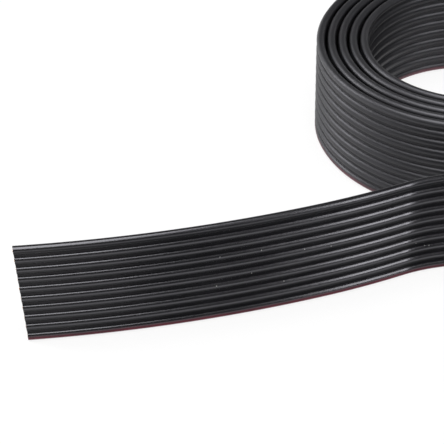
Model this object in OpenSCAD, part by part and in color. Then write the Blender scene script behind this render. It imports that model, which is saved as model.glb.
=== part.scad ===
/* [Jacket] */
// Number of conductors side by side
ways = 10; // [4:1:14]
// Distance between neighbouring conductors
pitch = 1.27; // [1.2:0.01:1.5]
// Thickness of the cable over a rib
rib_d = 1; // [0.8:0.01:1.1]
// Thickness of the web between two ribs
web_t = 0.5; // [0.3:0.05:0.6]

/* [Conductors] */
// Diameter of a conductor over its seven bunched strands
core_d = 0.38; // [0.3:0.01:0.45]
// Clearance round a conductor in its bore
bore_gap = 0.005; // [0.003:0.001:0.01]

/* [Roll] */
// Radius of the outermost turn, to the middle of the cable
roll_r = 18.9; // [17:0.1:24]
// Distance from one turn to the next
turn_pitch = 1.3; // [1.15:0.05:1.6]
// Number of turns
turns = 5; // [2:1:7]

/* [Tail] */
// Radius of the sweep from the side of the roll to its front
sweep_r = 28; // [24:0.5:34]
// Length of the sweep
sweep_length = 38.5; // [36:0.5:40]
// Radius of the soft kink in front of the roll
kink_r = 18; // [14:1:24]
// Angle of the cut at the free end, off square
cut_angle = 6; // [0:1:12]

/* [Hidden] */
// Stretches of the free tail from the roll to the cut end. Each row is the turning
// radius (0 is straight, below 0 turns right) and the length.
tail_route = [
    [-sweep_r, sweep_length],
    [0, 3],
    [kink_r, 4.6],
    [-84, 9],
    [-139, 33]
];
// The tail leaves the roll at its right-hand side, heading for the front
tail_start = [roll_r, 0];
tail_heading = -90;

// Neighbouring stretches of the tail overlap by this much, and every other stretch
// is slimmer by this much, so that one ends inside the other
lap = 0.05;
slimmer = 0.004;

// Width of the cable over all its ribs
cable_w = (ways - 1) * pitch + rib_d;
// Side of a conductor in the roll, where it is square and just fits inside its round self
wound_core = 0.7 * core_d;
// How far the top of the slanted cut lies beyond its foot, and a little to spare
cut_reach = cable_w * tan(cut_angle) + 0.5;
// Steps of a full circle, where a curve has to be drawn with straight lines
fine = 96;

// Height of a conductor's middle above the floor, where the first one is the lowest
function way_z(way) = rib_d / 2 + (way - 1) * pitch;

// Heading at the end of a stretch, and the place where it ends
function turned(heading, leg) =
    leg[0] == 0 ? heading : heading + leg[1] / leg[0] * 180 / PI;
function stepped(at, heading, leg) =
    leg[0] == 0
        ? at + leg[1] * [cos(heading), sin(heading)]
        : let (after = turned(heading, leg))
          at + leg[0] * [sin(after) - sin(heading), cos(heading) - cos(after)];

// Place and heading at the end of a whole route
function route_end(at, heading, route, index = 0) =
    index == len(route)
        ? [at, heading]
        : let (leg = route[index])
          route_end(stepped(at, heading, leg), turned(heading, leg), route, index + 1);

// Carries its child, a section with x across the cable and y up, along one stretch
module carry(at, heading, leg) {
    if (leg[0] == 0) {
        translate([at.x, at.y, 0])
            rotate([90, 0, heading + 90])
                linear_extrude(height = leg[1])
                    children();
    } else {
        angle = leg[1] / abs(leg[0]) * 180 / PI;
        centre = at + leg[0] * [-sin(heading), cos(heading)];
        first = leg[0] > 0 ? heading - 90 : heading + 90 - angle;
        translate([centre.x, centre.y, 0])
            rotate([0, 0, first])
                rotate_extrude(angle = angle, $fn = fine)
                    translate([abs(leg[0]), 0])
                        children();
    }
}

// Carries a section along the stretches of a route, one after the other, and past its
// end by the reach of the slanted cut. The first child is the full section and the
// second child the slimmer one.
module follow(at, heading, route, index = 0) {
    if (index < len(route)) {
        leg = route[index];
        last = index + 1 == len(route);
        carry(at, heading, [leg[0], leg[1] + (last ? cut_reach : lap)])
            children(index % 2);
        follow(stepped(at, heading, leg), turned(heading, leg), route, index + 1) {
            children(0);
            children(1);
        }
    }
}

// Every second half turn of the roll, from the given one inwards
module half_turns(first) {
    rotate_extrude(angle = 180, $fn = fine)
        for (half = [first:2:2 * turns - 1])
            translate([roll_r - half * turn_pitch / 2, 0])
                children();
}

// The turns of the roll: half turns about two centres, so that each runs into the next
module wind() {
    half_turns(0) children();
    translate([-turn_pitch / 2, 0, 0])
        rotate([0, 0, 180])
            half_turns(1) children();
}

// Section of a rib, round in the tail and eight-sided in the roll
module rib_section(d, wound) {
    if (wound)
        rotate(180 / 8)
            circle(d = d / cos(180 / 8), $fn = 8);
    else
        circle(d = d, $fn = 32);
}

// Section of a conductor with a margin all round, which is below 0 for a slimmer one
module core_section(way, wound, margin = 0) {
    translate([0, way_z(way)])
        if (wound)
            square(wound_core + 2 * margin, center = true);
        else
            circle(d = core_d + 2 * margin, $fn = 32);
}

// Section of the jacket: ribs joined by webs, with a bore for each conductor
module jacket_section(wound, inset = 0) {
    difference() {
        union() {
            for (way = [1:ways])
                translate([0, way_z(way)])
                    rib_section(rib_d - inset, wound);
            translate([-(web_t - inset) / 2, way_z(1)])
                square([web_t - inset, (ways - 1) * pitch]);
        }
        for (way = [1:ways])
            core_section(way, wound, bore_gap + inset / 2);
    }
}

// What the slanted cut takes off beyond the free end
module offcut() {
    end = route_end(tail_start, tail_heading, tail_route);
    translate([end[0].x, end[0].y, 0])
        rotate([0, cut_angle, end[1]])
            translate([0, -2 * rib_d, -cable_w])
                cube([cut_reach + cable_w, 4 * rib_d, 3 * cable_w]);
}

module jacket_roll() {
    color("#2a292b")
        wind() jacket_section(wound = true);
}

module jacket_tail() {
    color("#2a292b")
        difference() {
            follow(tail_start, tail_heading, tail_route) {
                jacket_section(wound = false);
                jacket_section(wound = false, inset = slimmer);
            }
            offcut();
        }
}

// One conductor, whole from the inner end of the roll to the cut end. A short stretch,
// slimmer than both, joins the roll's part to the tail's.
module conductor(way) {
    color("#c9c6c0")
        difference() {
            union() {
                wind() core_section(way, wound = true);
                carry(tail_start + [0, lap], tail_heading, [0, 2 * lap])
                    core_section(way, wound = true, margin = -slimmer / 2);
                follow(tail_start, tail_heading, tail_route) {
                    core_section(way, wound = false);
                    core_section(way, wound = false, margin = -slimmer / 2);
                }
            }
            offcut();
        }
}

jacket_roll();
jacket_tail();
for (way = [1:ways])
    conductor(way);
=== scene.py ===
"""Looks of the ribbon cable: a ribbed black jacket in a loose roll with a free tail."""

import math
import random

import bpy
from mathutils import Matrix, Quaternion, Vector


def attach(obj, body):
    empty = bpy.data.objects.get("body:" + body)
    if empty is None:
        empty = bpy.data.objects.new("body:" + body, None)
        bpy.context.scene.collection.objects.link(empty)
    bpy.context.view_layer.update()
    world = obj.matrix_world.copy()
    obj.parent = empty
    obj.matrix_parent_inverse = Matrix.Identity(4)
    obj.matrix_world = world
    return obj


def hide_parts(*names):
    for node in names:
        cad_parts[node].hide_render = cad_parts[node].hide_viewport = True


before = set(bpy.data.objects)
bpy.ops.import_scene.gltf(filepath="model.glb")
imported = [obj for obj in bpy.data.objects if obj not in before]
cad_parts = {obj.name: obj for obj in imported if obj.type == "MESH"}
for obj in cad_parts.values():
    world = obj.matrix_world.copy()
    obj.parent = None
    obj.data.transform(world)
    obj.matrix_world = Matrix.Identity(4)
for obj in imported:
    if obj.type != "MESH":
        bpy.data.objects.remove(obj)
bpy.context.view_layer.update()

# Lengths in this script are millimetres until they become mesh points
MM = 0.001

# The cable, as in the part's source
WAYS = 10
PITCH = 1.27
RIB_R = 0.5
# Half the web's thickness, which the highlights show to be less than the part's own,
# and the radius of the fillet where a rib runs into it
WEB_HALF = 0.15
FILLET = 0.04

# The cut strands: the radius of one, how far each stands proud of its cut at least and at
# most, how far it reaches back into the jacket, and the bevel at its tip
STRAND_R = 0.0635
STRAND_PROUD = (0.02, 0.06)
STRAND_BACK = 0.05
STRAND_BEVEL = 0.012
STRAND_SIDES = 10

# Each stretch of the route is the turning radius (0 is straight, below 0 turns right)
# and the length
ROLL_R = 18.9
TURN_PITCH = 1.3
TURNS = 5
ROLL_START = (ROLL_R, 0.0)
ROLL_HEADING = 90.0
ROLL_ROUTE = [
    (ROLL_R - half * TURN_PITCH / 2, math.pi * (ROLL_R - half * TURN_PITCH / 2))
    for half in range(2 * TURNS)
]
TAIL_START = (ROLL_R, 0.0)
TAIL_HEADING = -90.0
TAIL_ROUTE = [(-28.0, 38.5), (0, 3.0), (18.0, 4.6), (-84.0, 9.0), (-139.0, 33.0)]
# The cut at the free end is less slanted than the part's, with its top in the same place,
# so its foot lies this much farther out
CUT_ANGLE = 4.5
CUT_FOOT_OUT = 0.32
# The rings of the mesh lean over to the cut's slant within this last length
SLANT_OVER = 8.0
# The kink lies between these lengths along the tail. The photo's is sharper, so the shading
# turns by this power of the share of its length, most of it at the far end.
KINK = (41.5, 46.1)
KINK_POWER = 5.0
# The jacket has drawn back this far from the cut ends of the strands
DRAWN_BACK = 0.02

# Fineness of the two jackets: the steps of a rib's arc on one side of the section and of
# a fillet, and the length from ring to ring
TAIL_FINE = (7, 2)
TAIL_STEP = 0.5
ROLL_FINE = (4, 1)
ROLL_STEP = 0.9
# Pieces that the cord's path is divided into
CORD_PIECES = 36

# The camera, from the photograph's perspective
CAMERA_AT = (-30.95, -223.6, 148.7)
CAMERA_TO = (-30.8, -19.35, 0.0)
CAMERA_ROLL = -0.407
FOCAL_PX = 2200.0
PHOTO_PX = 444
SENSOR = 36.0

# Specks of dust: the length along the tail, the rib, where 0 is the lowest, and the tilt
# of its surface there, in degrees
DUST = [
    (67.6, 6, 25),
    (64.1, 4, -10),
    (68.0, 3, 25),
    (63.0, 6, 20),
    (60.4, 2, 50),
    (58.1, 5, 45),
    (55.1, 5, 10),
    (44.7, 3, -10),
    (43.5, 2, 60),
    (43.0, 2, 50),
]
# A flake's radius at its corners, least and most, its thickness, and how deep its underside
# is sunk in the rib
FLAKE_R = (0.035, 0.06)
FLAKE_THICK = 0.012
FLAKE_SUNK = 0.004
FLAKE_CORNERS = 6

# The ribs shine above the first of these tilts, in degrees, and below the second, where they
# turn under, and reach their full gloss over so many degrees. Between the two, and on the webs,
# their gloss is turned down, in the roll less so: this is painted shade, darkening the webs and
# the ribs' lower flanks, where a real jacket's gloss is the same all round.
SHINE_ABOVE = 0.0
SHINE_BELOW = -32.0
SHINE_OVER = 9.0
ROLL_SHINE_LEAST = 0.6
# The roll's gloss is softer by this much roughness
ROLL_SOFT = 0.24
# The roll takes on its own gloss over this length, from where it meets the tail
ROLL_EASE = 36.0
# Towards the free end the jacket is lighter, fully at the first of these places along x, in
# metres, and no longer at the second. This haze also lifts the gloss of the dull parts.
HAZE = (-0.05, -0.036)
HAZE_GLOSS = 0.16
# What the gloss from none to full means for the shader, and the tint of what it mirrors
GLOSS_LEVELS = (0.05, 0.8)
GLOSS_TINT = (0.94, 0.93, 1.0)
PVC_IOR = 1.53
# Roughness along the drawing lines, and what a cut face adds to it
LINE_ROUGHNESS = (0.17, 0.27)
CUT_ROUGHNESS = 0.25

# How many of each pattern there are: drawing lines to the millimetre along the cable and
# round its section, and clouds and grains to the metre
LINES_ALONG = 0.06
LINES_AROUND = 6.0
CLOUDS = 260.0
GRAINS = 9000.0
TIN_CLOUDS = 5200.0
# The bump of the lines, with its height in metres, and the share of the grain in it
BUMP_HEIGHT = 0.00002
BUMP_STRENGTH = 0.25
BUMP_GRAIN = 0.4

# The red mark is full up to the first of these heights on the lowest rib and has faded out
# at the second
MARK_HEIGHTS = (0.3, 0.75)

# Colours
BLACK = (0.0045, 0.0046, 0.0056)
GREYED = (0.0088, 0.0088, 0.0102)
HAZY = (0.0100, 0.0096, 0.0101)
STREAK = (0.04, 0.039, 0.04)
RED_MARK = (0.15, 0.02, 0.035)
FRESH_CUT = (0.03, 0.029, 0.031)
TIN = (0.72, 0.70, 0.67)
COPPER = (0.72, 0.43, 0.27)
DUST_GREY = (0.32, 0.31, 0.3)
PAPER = (0.94, 0.94, 0.94)

# Softboxes: the place of each, in metres, the direction of its second side, its two
# sides, and its power in watts. The right one makes the band of light before the kink.
LAMPS = [
    ("top", (-0.13, -0.15, 0.8), (0, 1, 0), (0.5, 0.8), 6.5),
    ("right", (0.465, -0.344, 0.58), (-0.29, 0.719, 0.632), (0.17, 0.62), 2.1),
    ("left", (-0.75, 0.25, 0.45), (0, 0, 1), (0.4, 0.5), 3.6),
]

# The surroundings are white near the horizon, up to the first height of a unit-long ray,
# and dim from the second one up
HORIZON = (0.1, 0.26)
HORIZON_LIGHT = 1.0
SKY_LIGHT = 0.1

# How far the camera and the jacket's gloss see the floor as plain white, which lightens
# the shadows on it. It is fully white from the second of these distances out, in metres.
FLOOR_WHITE = 0.8
FLOOR_FADE = (0.12, 0.4)
FLOOR_HALF = 3.0


def route_length(route):
    return sum(length for radius, length in route)


def station(start, heading, route, s):
    """Place and heading, in radians, at the length s along a route."""
    x, y = start
    h = math.radians(heading)
    left = s
    for index, (radius, length) in enumerate(route):
        last = index + 1 == len(route)
        run = left if last else min(left, length)
        if radius == 0:
            x += run * math.cos(h)
            y += run * math.sin(h)
        else:
            after = h + run / radius
            x += radius * (math.sin(after) - math.sin(h))
            y += radius * (math.cos(h) - math.cos(after))
            h = after
        left -= run
        if left <= 0 and not last:
            break
    return x, y, h


def creased(s):
    """The length along the tail that the shading at s takes its heading from."""
    first, last = KINK
    if not first < s < last:
        return s
    return first + (last - first) * ((s - first) / (last - first)) ** KINK_POWER


def add_object(name, data):
    made = bpy.data.objects.new(name, data)
    bpy.context.scene.collection.objects.link(made)
    return made


def mesh_object(name, vertices, faces):
    mesh = bpy.data.meshes.new(name)
    mesh.from_pydata(vertices, [], faces)
    mesh.update()
    return add_object(name, mesh)


def add_camera():
    data = bpy.data.cameras.new("camera")
    data.sensor_width = SENSOR
    data.lens = SENSOR * FOCAL_PX / PHOTO_PX
    data.clip_start = 0.01
    data.clip_end = 20
    camera = add_object("camera", data)
    camera.location = Vector(CAMERA_AT) * MM
    look = Vector(CAMERA_TO) - Vector(CAMERA_AT)
    roll = Quaternion((0, 0, 1), math.radians(CAMERA_ROLL))
    camera.rotation_euler = (look.to_track_quat("-Z", "Y") @ roll).to_euler()
    bpy.context.scene.camera = camera


def arc(middle, radius, first, last, steps, hollow=False):
    """Points of an arc in the section, where x is across the cable and z is up. Each is
    x, z, the tilt of the surface there, and how much of the full gloss it has."""
    points = []
    for i in range(steps + 1):
        angle = first + (last - first) * i / steps
        x = middle[0] + radius * math.cos(math.radians(angle))
        z = middle[1] + radius * math.sin(math.radians(angle))
        # The fillets get no gloss and the ribs little between the two tilts: painted shade in
        # the grooves.
        if hollow:
            points.append((x, z, angle - 180, 0.0))
        else:
            past = max(angle - SHINE_ABOVE, SHINE_BELOW - angle)
            points.append((x, z, angle, min(1.0, max(0.0, past / SHINE_OVER))))
    return points


def rib_side(rib_steps, fillet_steps):
    """Right-hand side of the section, from the foot of the lowest rib to the top."""
    reach = math.sqrt((RIB_R + FILLET) ** 2 - (WEB_HALF + FILLET) ** 2)
    turn = math.degrees(math.atan2(reach, WEB_HALF + FILLET))
    points = []
    for way in range(WAYS):
        z = RIB_R + way * PITCH
        low = -90 if way == 0 else -turn
        high = 90 if way == WAYS - 1 else turn
        points += arc((0, z), RIB_R, low, high, rib_steps)
        if way < WAYS - 1:
            valley = WEB_HALF + FILLET
            above = arc((valley, z + reach), FILLET, 180 + turn, 180, fillet_steps, True)
            below = arc((valley, z + PITCH - reach), FILLET, 180, 180 - turn, fillet_steps, True)
            points += above[1:] + below[:-1]
    return points


def outline(rib_steps, fillet_steps):
    """The whole section, up one side and down the other."""
    side = rib_side(rib_steps, fillet_steps)
    back = [(-x, z, 180 - tilt, gloss) for x, z, tilt, gloss in reversed(side[1:-1])]
    return side + back


def swept(
    name, start, heading, route, length, section, step,
    slant=0.0, shaded_as=None, least_gloss=0.0, soft=0.0,
):
    """A closed mesh of the section carried along a route for a length. Its far end can be
    slanted, and its shading can take the heading of another length along the route."""
    rings = round(length / step) + 1
    count = len(section)
    around = [0.0]
    for before, after in zip(section, section[1:]):
        around.append(around[-1] + math.dist(before[:2], after[:2]))
    slant_from = length - SLANT_OVER
    vertices = []
    normals = []
    along_values = []
    gloss_values = []
    soft_values = []
    for ring in range(rings):
        s = length * ring / (rings - 1)
        share = max(0.0, (s - slant_from) / (length - slant_from))
        own = min(1.0, s / ROLL_EASE)
        for x, z, tilt, gloss in section:
            here = s + share * z * math.tan(math.radians(slant))
            px, py, h = station(start, heading, route, here)
            vertices.append(
                ((px - x * math.sin(h)) * MM, (py + x * math.cos(h)) * MM, z * MM)
            )
            if shaded_as:
                h = station(start, heading, route, shaded_as(here))[2]
            level = math.cos(math.radians(tilt))
            normals.append(
                (-level * math.sin(h), level * math.cos(h), math.sin(math.radians(tilt)))
            )
            along_values.append(here)
            gloss_values.append(max(own * least_gloss, gloss))
            soft_values.append(own * soft)
    faces = []
    for ring in range(rings - 1):
        a = ring * count
        b = a + count
        for i in range(count):
            j = (i + 1) % count
            faces.append((a + i, a + j, b + j, b + i))
    corner_normals = [normals[corner] for face in faces for corner in face]
    walls = len(faces)
    half = count // 2
    first = math.radians(heading)
    last = station(start, heading, route, length)[2]
    lean = math.radians(slant)
    ends = (
        (0, (-math.cos(first), -math.sin(first), 0.0)),
        (
            (rings - 1) * count,
            (math.cos(lean) * math.cos(last), math.cos(lean) * math.sin(last), -math.sin(lean)),
        ),
    )
    for base, outward in ends:
        for i in range(half):
            mirror = (count - i) % count
            quad = [base + k for k in dict.fromkeys([i, i + 1, count - i - 1, mirror])]
            if base == 0:
                quad.reverse()
            faces.append(tuple(quad))
            corner_normals += [outward] * len(quad)
    piece = mesh_object(name, vertices, faces)
    mesh = piece.data
    layers = (
        ("along", along_values),
        ("around", around * rings),
        ("gloss", gloss_values),
        ("soft", soft_values),
    )
    for key, values in layers:
        layer = mesh.attributes.new(key, "FLOAT", "POINT")
        layer.data.foreach_set("value", values)
    cut = mesh.attributes.new("cut", "FLOAT", "FACE")
    cut.data.foreach_set("value", [0.0] * walls + [1.0] * (len(faces) - walls))
    mesh.polygons.foreach_set("use_smooth", [True] * len(faces))
    mesh.normals_split_custom_set(corner_normals)
    return piece


def make_tail():
    length = route_length(TAIL_ROUTE)
    tail = swept(
        "tail_jacket", TAIL_START, TAIL_HEADING, TAIL_ROUTE,
        length + CUT_FOOT_OUT - DRAWN_BACK, outline(*TAIL_FINE), TAIL_STEP,
        slant=CUT_ANGLE, shaded_as=creased,
    )
    for i in range(CORD_PIECES + 1):
        x, y, _ = station(TAIL_START, TAIL_HEADING, TAIL_ROUTE, length * i / CORD_PIECES)
    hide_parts("jacket_tail")
    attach(tail, "root")
    return tail


def make_roll():
    roll = swept(
        "roll_jacket", ROLL_START, ROLL_HEADING, ROLL_ROUTE,
        route_length(ROLL_ROUTE) - DRAWN_BACK, outline(*ROLL_FINE), ROLL_STEP,
        least_gloss=ROLL_SHINE_LEAST, soft=ROLL_SOFT,
    )
    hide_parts("jacket_roll")
    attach(roll, "root")
    return roll


def make_dust():
    """Pale specks of dust on the outward side of the tail, each a small flat flake."""
    rng = random.Random(3)
    vertices = []
    faces = []
    for along, way, tilt in DUST:
        x, y, h = station(TAIL_START, TAIL_HEADING, TAIL_ROUTE, along)
        t = math.radians(tilt)
        side = Vector((-math.sin(h), math.cos(h), 0))
        out = side * math.cos(t) + Vector((0, 0, math.sin(t)))
        ahead = Vector((math.cos(h), math.sin(h), 0))
        across = out.cross(ahead)
        middle = Vector((x, y, RIB_R + way * PITCH)) + out * (RIB_R - FLAKE_SUNK)
        base = len(vertices)
        corners = FLAKE_CORNERS
        for lift in (0.0, FLAKE_THICK):
            for k in range(corners):
                a = 2 * math.pi * k / corners
                reach = rng.uniform(*FLAKE_R)
                place = middle + ahead * (reach * math.cos(a)) + across * (reach * math.sin(a))
                vertices.append((place + out * lift) * MM)
        for k in range(corners):
            n = (k + 1) % corners
            faces.append((base + k, base + n, base + corners + n, base + corners + k))
        faces.append(tuple(base + k for k in reversed(range(corners))))
        faces.append(tuple(base + corners + k for k in range(corners)))
    piece = mesh_object("dust", vertices, faces)
    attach(piece, "root")
    return piece


def strand_tips(name, tip, heading, lean):
    """The seven cut strand ends of every conductor at one end of the cable."""
    outward = Vector(
        (
            math.cos(lean) * math.cos(heading),
            math.cos(lean) * math.sin(heading),
            -math.sin(lean),
        )
    )
    side = Vector((-math.sin(heading), math.cos(heading), 0))
    up = outward.cross(side)
    sides = STRAND_SIDES
    vertices = []
    faces = []
    rng = random.Random(7)
    for way in range(WAYS):
        z = RIB_R + way * PITCH
        slide = z * math.tan(lean)
        middle = Vector(
            (
                tip[0] + slide * math.cos(heading),
                tip[1] + slide * math.sin(heading),
                z,
            )
        )
        twist = rng.uniform(0, math.pi / 3)
        places = [(0.0, 0.0)]
        for k in range(6):
            a = twist + k * math.pi / 3
            places.append((2 * STRAND_R * math.cos(a), 2 * STRAND_R * math.sin(a)))
        for u, v in places:
            proud = rng.uniform(*STRAND_PROUD)
            levels = (
                (-STRAND_BACK, STRAND_R),
                (proud - STRAND_BEVEL, STRAND_R),
                (proud, STRAND_R - STRAND_BEVEL),
            )
            base = len(vertices)
            for depth, radius in levels:
                for k in range(sides):
                    a = 2 * math.pi * k / sides
                    place = (
                        middle
                        + side * (u + radius * math.cos(a))
                        + up * (v + radius * math.sin(a))
                        + outward * depth
                    )
                    vertices.append(place * MM)
            for level in range(len(levels) - 1):
                for k in range(sides):
                    n = (k + 1) % sides
                    lower = base + level * sides
                    faces.append(
                        (lower + k, lower + n, lower + sides + n, lower + sides + k)
                    )
            faces.append(tuple(base + k for k in reversed(range(sides))))
            top = base + (len(levels) - 1) * sides
            faces.append(tuple(top + k for k in range(sides)))
    piece = mesh_object(name, vertices, faces)
    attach(piece, "root")
    return piece


def nodes_of(name):
    material = bpy.data.materials.new(name)
    material.use_nodes = True
    tree = material.node_tree
    return material, tree.nodes, tree.links, tree.nodes["Principled BSDF"]


def attribute(nodes, name):
    node = nodes.new("ShaderNodeAttribute")
    node.attribute_name = name
    return node.outputs["Fac"]


def math_node(nodes, links, operation, first, second=None, clamp=False):
    node = nodes.new("ShaderNodeMath")
    node.operation = operation
    node.use_clamp = clamp
    for index, value in enumerate((first, second)):
        if value is None:
            continue
        if isinstance(value, (int, float)):
            node.inputs[index].default_value = value
        else:
            links.new(value, node.inputs[index])
    return node.outputs[0]


def ramp(nodes, links, value, low, high, to_low=0.0, to_high=1.0):
    node = nodes.new("ShaderNodeMapRange")
    node.clamp = True
    links.new(value, node.inputs["Value"])
    node.inputs["From Min"].default_value = low
    node.inputs["From Max"].default_value = high
    node.inputs["To Min"].default_value = to_low
    node.inputs["To Max"].default_value = to_high
    return node.outputs["Result"]


def noise(nodes, links, vector, scale, detail=3.0, roughness=0.5):
    node = nodes.new("ShaderNodeTexNoise")
    node.inputs["Scale"].default_value = scale
    node.inputs["Detail"].default_value = detail
    node.inputs["Roughness"].default_value = roughness
    links.new(vector, node.inputs["Vector"])
    return node.outputs["Fac"]


def mix_colour(nodes, links, share, first, second):
    node = nodes.new("ShaderNodeMix")
    node.data_type = "RGBA"
    links.new(share, node.inputs["Factor"])
    for name, value in (("A", first), ("B", second)):
        socket = [s for s in node.inputs if s.name == name and s.type == "RGBA"][0]
        if isinstance(value, tuple):
            socket.default_value = (*value, 1.0)
        else:
            links.new(value, socket)
    return [s for s in node.outputs if s.type == "RGBA"][0]


def jacket_material():
    """Black flexible PVC with drawing lines, a lighter free end, painted shade in its grooves
    and a dull red mark.
    """
    material, nodes, links, shader = nodes_of("jacket_pvc")
    along = attribute(nodes, "along")
    around = attribute(nodes, "around")
    cut = attribute(nodes, "cut")
    shine_and_painted_shade = attribute(nodes, "gloss")
    soft = attribute(nodes, "soft")
    place = nodes.new("ShaderNodeTexCoord").outputs["Object"]
    split = nodes.new("ShaderNodeSeparateXYZ")
    links.new(place, split.inputs[0])
    lines = nodes.new("ShaderNodeCombineXYZ")
    links.new(math_node(nodes, links, "MULTIPLY", along, LINES_ALONG), lines.inputs["X"])
    links.new(math_node(nodes, links, "MULTIPLY", around, LINES_AROUND), lines.inputs["Y"])
    drawn = noise(nodes, links, lines.outputs[0], 1.0, detail=4.0, roughness=0.6)
    cloud = noise(nodes, links, place, CLOUDS, detail=4.0, roughness=0.6)
    grain = noise(nodes, links, place, GRAINS, detail=2.0)

    grey_share = ramp(nodes, links, cloud, 0.35, 0.7)
    body = mix_colour(nodes, links, grey_share, BLACK, GREYED)
    haze = ramp(nodes, links, split.outputs["X"], *HAZE, 1.0, 0.0)
    hazed = mix_colour(nodes, links, haze, body, HAZY)
    streak_share = ramp(nodes, links, drawn, 0.55, 0.8, 0.0, 0.3)
    streaked = mix_colour(nodes, links, streak_share, hazed, STREAK)
    foot, top = MARK_HEIGHTS
    mark = ramp(nodes, links, split.outputs["Z"], foot * MM, top * MM, 1.0, 0.0)
    worn = ramp(nodes, links, cloud, 0.3, 0.6, 0.55, 1.0)
    mark_share = math_node(nodes, links, "MULTIPLY", mark, worn)
    marked = mix_colour(nodes, links, mark_share, streaked, RED_MARK)
    colour = mix_colour(nodes, links, cut, marked, FRESH_CUT)
    links.new(colour, shader.inputs["Base Color"])

    lined = ramp(nodes, links, drawn, 0.3, 0.8, *LINE_ROUGHNESS)
    dull = math_node(nodes, links, "MULTIPLY", cut, CUT_ROUGHNESS)
    softer = math_node(nodes, links, "ADD", dull, soft)
    links.new(math_node(nodes, links, "ADD", lined, softer), shader.inputs["Roughness"])
    lifted = math_node(nodes, links, "MULTIPLY", haze, HAZE_GLOSS)
    gloss = math_node(nodes, links, "MAXIMUM", shine_and_painted_shade, lifted)
    # The gloss attribute turns the specular level down on the webs and the ribs' lower flanks:
    # painted shade there.
    level = ramp(nodes, links, gloss, 0.0, 1.0, *GLOSS_LEVELS)
    links.new(level, shader.inputs["Specular IOR Level"])
    shader.inputs["Specular Tint"].default_value = (*GLOSS_TINT, 1)
    shader.inputs["IOR"].default_value = PVC_IOR

    bump = nodes.new("ShaderNodeBump")
    bump.inputs["Strength"].default_value = BUMP_STRENGTH
    bump.inputs["Distance"].default_value = BUMP_HEIGHT
    fine = math_node(nodes, links, "MULTIPLY", grain, BUMP_GRAIN)
    links.new(math_node(nodes, links, "ADD", drawn, fine), bump.inputs["Height"])
    links.new(bump.outputs["Normal"], shader.inputs["Normal"])
    return material


def conductor_material():
    """Tinned copper, a little dull, with the copper showing in places."""
    material, nodes, links, shader = nodes_of("tinned_copper")
    place = nodes.new("ShaderNodeTexCoord").outputs["Object"]
    cloud = noise(nodes, links, place, TIN_CLOUDS, detail=2.0)
    bare = ramp(nodes, links, cloud, 0.45, 0.62)
    links.new(mix_colour(nodes, links, bare, TIN, COPPER), shader.inputs["Base Color"])
    shader.inputs["Metallic"].default_value = 1.0
    links.new(ramp(nodes, links, cloud, 0.3, 0.7, 0.22, 0.4), shader.inputs["Roughness"])
    return material


def dust_material():
    material, nodes, links, shader = nodes_of("dust_grey")
    shader.inputs["Base Color"].default_value = (*DUST_GREY, 1)
    shader.inputs["Roughness"].default_value = 0.9
    return material


def dress(piece, material):
    piece.data.materials.clear()
    piece.data.materials.append(material)


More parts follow.
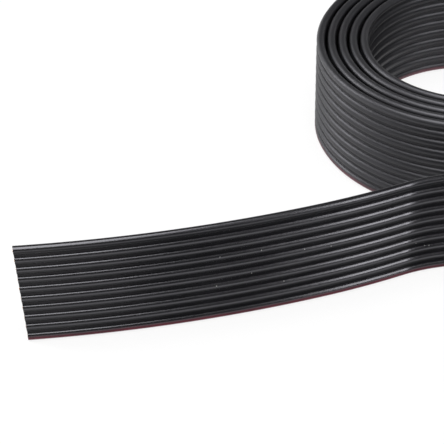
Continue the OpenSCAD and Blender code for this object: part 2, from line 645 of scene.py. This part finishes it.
def add_floor():
    half = FLOOR_HALF
    corners = [(-half, -half, 0), (half, -half, 0), (half, half, 0), (-half, half, 0)]
    floor = mesh_object("floor", corners, [(0, 1, 2, 3)])
    material, nodes, links, shader = nodes_of("floor_white")
    shader.inputs["Base Color"].default_value = (*PAPER, 1)
    shader.inputs["Roughness"].default_value = 0.9
    shader.inputs["Specular IOR Level"].default_value = 0.0
    paper = nodes.new("ShaderNodeEmission")
    paper.inputs["Strength"].default_value = 1.0
    path = nodes.new("ShaderNodeLightPath")
    seen = path.outputs["Is Camera Ray"]
    for kind in ("Is Glossy Ray", "Is Transmission Ray"):
        seen = math_node(nodes, links, "MAXIMUM", seen, path.outputs[kind])
    away = nodes.new("ShaderNodeVectorMath")
    away.operation = "LENGTH"
    links.new(nodes.new("ShaderNodeTexCoord").outputs["Object"], away.inputs[0])
    white = ramp(nodes, links, away.outputs["Value"], *FLOOR_FADE, FLOOR_WHITE, 1.0)
    share = math_node(nodes, links, "MULTIPLY", seen, white)
    blend = nodes.new("ShaderNodeMixShader")
    links.new(share, blend.inputs["Fac"])
    links.new(shader.outputs[0], blend.inputs[1])
    links.new(paper.outputs[0], blend.inputs[2])
    links.new(blend.outputs[0], nodes["Material Output"].inputs["Surface"])
    dress(floor, material)


def add_lamp(name, at, edge, size, watts):
    """A softbox that faces the cable, with its second side along the edge's direction."""
    data = bpy.data.lights.new(name, "AREA")
    data.shape = "RECTANGLE"
    data.size, data.size_y = size
    data.energy = watts
    lamp = add_object(name, data)
    back = Vector(at).normalized()
    side = Vector(edge).cross(back).normalized()
    lamp.matrix_world = Matrix.LocRotScale(
        Vector(at), Matrix((side, back.cross(side), back)).transposed(), None
    )


def add_light():
    world = bpy.data.worlds.new("world")
    world.use_nodes = True
    nodes, links = world.node_tree.nodes, world.node_tree.links
    direction = nodes.new("ShaderNodeSeparateXYZ")
    links.new(nodes.new("ShaderNodeTexCoord").outputs["Generated"], direction.inputs[0])
    band = ramp(nodes, links, direction.outputs["Z"], *HORIZON, HORIZON_LIGHT, SKY_LIGHT)
    seen = nodes.new("ShaderNodeLightPath").outputs["Is Camera Ray"]
    level = math_node(nodes, links, "MAXIMUM", band, seen)
    nodes["Background"].inputs["Color"].default_value = (1, 1, 1, 1)
    links.new(level, nodes["Background"].inputs["Strength"])
    bpy.context.scene.world = world
    for lamp in LAMPS:
        add_lamp(*lamp)


add_camera()
tail_piece = make_tail()
roll_piece = make_roll()
cut_foot = route_length(TAIL_ROUTE) + CUT_FOOT_OUT
tail_end = station(TAIL_START, TAIL_HEADING, TAIL_ROUTE, cut_foot)
roll_end = station(ROLL_START, ROLL_HEADING, ROLL_ROUTE, route_length(ROLL_ROUTE))
dust = make_dust()
outer_tips = strand_tips("strands_cut_end", tail_end[:2], tail_end[2], math.radians(CUT_ANGLE))
inner_tips = strand_tips("strands_inner_end", roll_end[:2], roll_end[2], 0.0)

pvc = jacket_material()
tinned = conductor_material()
for piece in (tail_piece, roll_piece):
    dress(piece, pvc)
for piece in (outer_tips, inner_tips):
    dress(piece, tinned)
dress(dust, dust_material())
for way in range(1, WAYS + 1):
    dress(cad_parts[f"conductor_{way}"], tinned)

add_floor()
add_light()
bpy.context.scene.view_settings.view_transform = "Standard"
